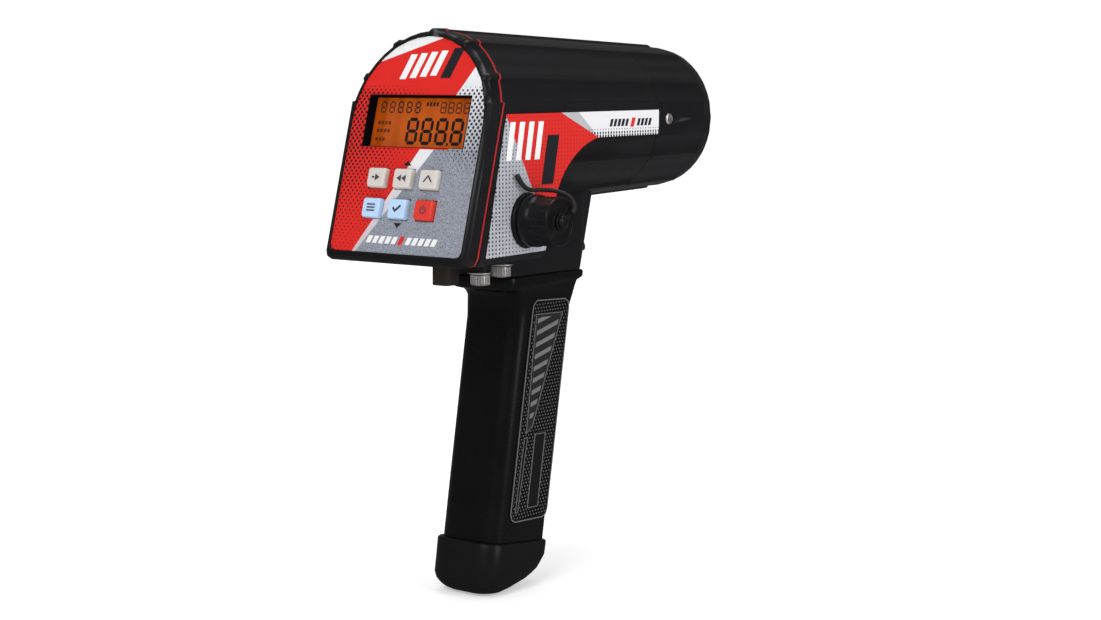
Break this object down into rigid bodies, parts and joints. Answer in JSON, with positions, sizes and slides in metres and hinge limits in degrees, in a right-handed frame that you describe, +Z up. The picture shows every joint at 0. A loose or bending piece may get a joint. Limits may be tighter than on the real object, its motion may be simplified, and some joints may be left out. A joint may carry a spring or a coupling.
{
  "type": "speed radar gun",
  "caption": "Hand-held speed radar gun with a ridged barrel, leaning rear display and keys, raked battery handle, finger trigger and capped side connector.",
  "frame": {"origin": "on the flat under the handle, in the middle plane", "axes": "+Z up, +Y where the radar horn points, +X the user's right"},
  "size_m": [0.1141, 0.2298, 0.2868],
  "materials": {
    "housing_black": "satin",
    "radome_black": "matte",
    "seal_rubber": "matte",
    "gasket_red": "satin",
    "bezel_black": "satin",
    "label_film": "semi-gloss printed film",
    "window_clear": "polished",
    "display_amber": "backlit",
    "circuit_board": "satin",
    "key_warm_grey": "satin",
    "key_pale_blue": "satin",
    "key_red": "satin",
    "horn_aluminium": "machined",
    "module_plated": "plated",
    "steel_bright": "machined",
    "steel_black_oxide": "black oxide",
    "connector_black": "anodised black",
    "connector_insert": "matte",
    "cap_black": "semi-gloss",
    "cord_black": "braided cord",
    "handle_black": "semi-gloss",
    "grip_rubber": "textured",
    "boot_rubber": "smooth",
    "cell_wrap": "shrink film",
    "contact_brass": "plated",
    "trigger_black": "satin",
    "switch_body": "matte"
  },
  "bodies": {
    "housing": {"housing_shell": "housing_black", "nose_ring": "housing_black", "radome": "radome_black", "radome_seal": "seal_rubber", "keypad_mat": "seal_rubber", "rear_gasket": "gasket_red", "rear_bezel": "bezel_black", "face_label": "label_film", "side_label_right": "label_film", "side_label_left": "label_film", "lcd_window": "window_clear", "lcd_module": "display_amber", "display_board": "circuit_board", "keypad_board": "circuit_board", "main_board": "circuit_board", "horn_antenna": "horn_aluminium", "microwave_module": "module_plated", "nose_screw_right": "steel_bright", "nose_screw_left": "steel_bright", "trigger_pin": "steel_bright", "handle_screw_front_left": "steel_bright", "handle_screw_front_right": "steel_bright", "handle_screw_rear_left": "steel_bright", "handle_screw_rear_right": "steel_bright", "tripod_socket_block": "steel_black_oxide", "connector_body": "connector_black", "connector_insert": "connector_insert", "power_contact_block": "connector_insert", "lanyard_body_end": "cord_black", "handle_shell": "handle_black", "grip_panel_right": "grip_rubber", "grip_panel_left": "grip_rubber", "handle_boot": "boot_rubber", "cell_front_upper": "cell_wrap", "cell_front_lower": "cell_wrap", "cell_rear_upper": "cell_wrap", "cell_rear_lower": "cell_wrap", "contact_plate_top": "contact_brass", "contact_plate_bottom": "contact_brass", "trigger_switch": "switch_body"},
    "key_top_left": {"key_top_left": "key_warm_grey"},
    "key_top_middle": {"key_top_middle": "key_warm_grey"},
    "key_top_right": {"key_top_right": "key_warm_grey"},
    "key_bottom_left": {"key_bottom_left": "key_pale_blue"},
    "key_bottom_middle": {"key_bottom_middle": "key_pale_blue"},
    "key_bottom_right": {"key_bottom_right": "key_red"},
    "trigger": {"trigger": "trigger_black", "trigger_spring": "steel_bright"},
    "switch_plunger": {"switch_plunger": "switch_body"},
    "cap_eyelet": {"cap_eyelet": "steel_black_oxide", "lanyard_cap_end": "cord_black"},
    "dust_cap": {"dust_cap": "cap_black", "cap_screw": "steel_bright"},
    "thumb_washer_front": {"thumb_washer_front": "steel_bright"},
    "thumb_screw_front": {"thumb_screw_front": "steel_bright"},
    "thumb_washer_rear": {"thumb_washer_rear": "steel_bright"},
    "thumb_screw_rear": {"thumb_screw_rear": "steel_bright"}
  },
  "joints": [
    {"name": "press_top_left", "type": "slide", "parent": "housing", "child": "key_top_left", "axis": [0, 0.9644, -0.2646], "range_m": [0, 0.0012], "stiffness_N_per_m": 600},
    {"name": "press_top_middle", "type": "slide", "parent": "housing", "child": "key_top_middle", "axis": [0, 0.9644, -0.2646], "range_m": [0, 0.0012], "stiffness_N_per_m": 600},
    {"name": "press_top_right", "type": "slide", "parent": "housing", "child": "key_top_right", "axis": [0, 0.9644, -0.2646], "range_m": [0, 0.0012], "stiffness_N_per_m": 600},
    {"name": "press_bottom_left", "type": "slide", "parent": "housing", "child": "key_bottom_left", "axis": [0, 0.9644, -0.2646], "range_m": [0, 0.0012], "stiffness_N_per_m": 600},
    {"name": "press_bottom_middle", "type": "slide", "parent": "housing", "child": "key_bottom_middle", "axis": [0, 0.9644, -0.2646], "range_m": [0, 0.0012], "stiffness_N_per_m": 600},
    {"name": "press_bottom_right", "type": "slide", "parent": "housing", "child": "key_bottom_right", "axis": [0, 0.9644, -0.2646], "range_m": [0, 0.0012], "stiffness_N_per_m": 600},
    {"name": "trigger_pull", "type": "hinge", "parent": "housing", "child": "trigger", "pos_m": [0, 0.0715, 0.194], "axis": [-1, 0, 0], "range_deg": [0, 9], "stiffness_Nm_per_rad": 0.05},
    {"name": "plunger_push", "type": "slide", "parent": "housing", "child": "switch_plunger", "axis": [0, -1, 0], "range_m": [0, 0.00118]},
    {"name": "cap_lift", "type": "slide", "parent": "housing", "child": "cap_eyelet", "axis": [0.9995, 0.0308, 0], "range_m": [0, 0.006]},
    {"name": "cap_turn", "type": "hinge", "parent": "cap_eyelet", "child": "dust_cap", "pos_m": [0.04436, -0.0225, 0.1941], "axis": [0.9995, 0.0308, 0], "range_deg": [0, 360]},
    {"name": "thumb_drop_front", "type": "slide", "parent": "housing", "child": "thumb_washer_front", "axis": [0, 0, -1], "range_m": [0, 0.001]},
    {"name": "thumb_turn_front", "type": "hinge", "parent": "thumb_washer_front", "child": "thumb_screw_front", "pos_m": [0.019, -0.0102, 0.175], "axis": [0, 0, -1], "range_deg": [0, 360]},
    {"name": "thumb_drop_rear", "type": "slide", "parent": "housing", "child": "thumb_washer_rear", "axis": [0, 0, -1], "range_m": [0, 0.001]},
    {"name": "thumb_turn_rear", "type": "hinge", "parent": "thumb_washer_rear", "child": "thumb_screw_rear", "pos_m": [0.0185, -0.0262, 0.175], "axis": [0, 0, -1], "range_deg": [0, 360]}
  ],
  "couplings": [
    {"joint": "trigger_pull", "follows": "plunger_push", "rad_per_m": 133.33},
    {"joint": "cap_turn", "follows": "cap_lift", "rad_per_m": 1047.2},
    {"joint": "thumb_turn_front", "follows": "thumb_drop_front", "rad_per_m": 6283.2},
    {"joint": "thumb_turn_rear", "follows": "thumb_drop_rear", "rad_per_m": 6283.2}
  ]
}
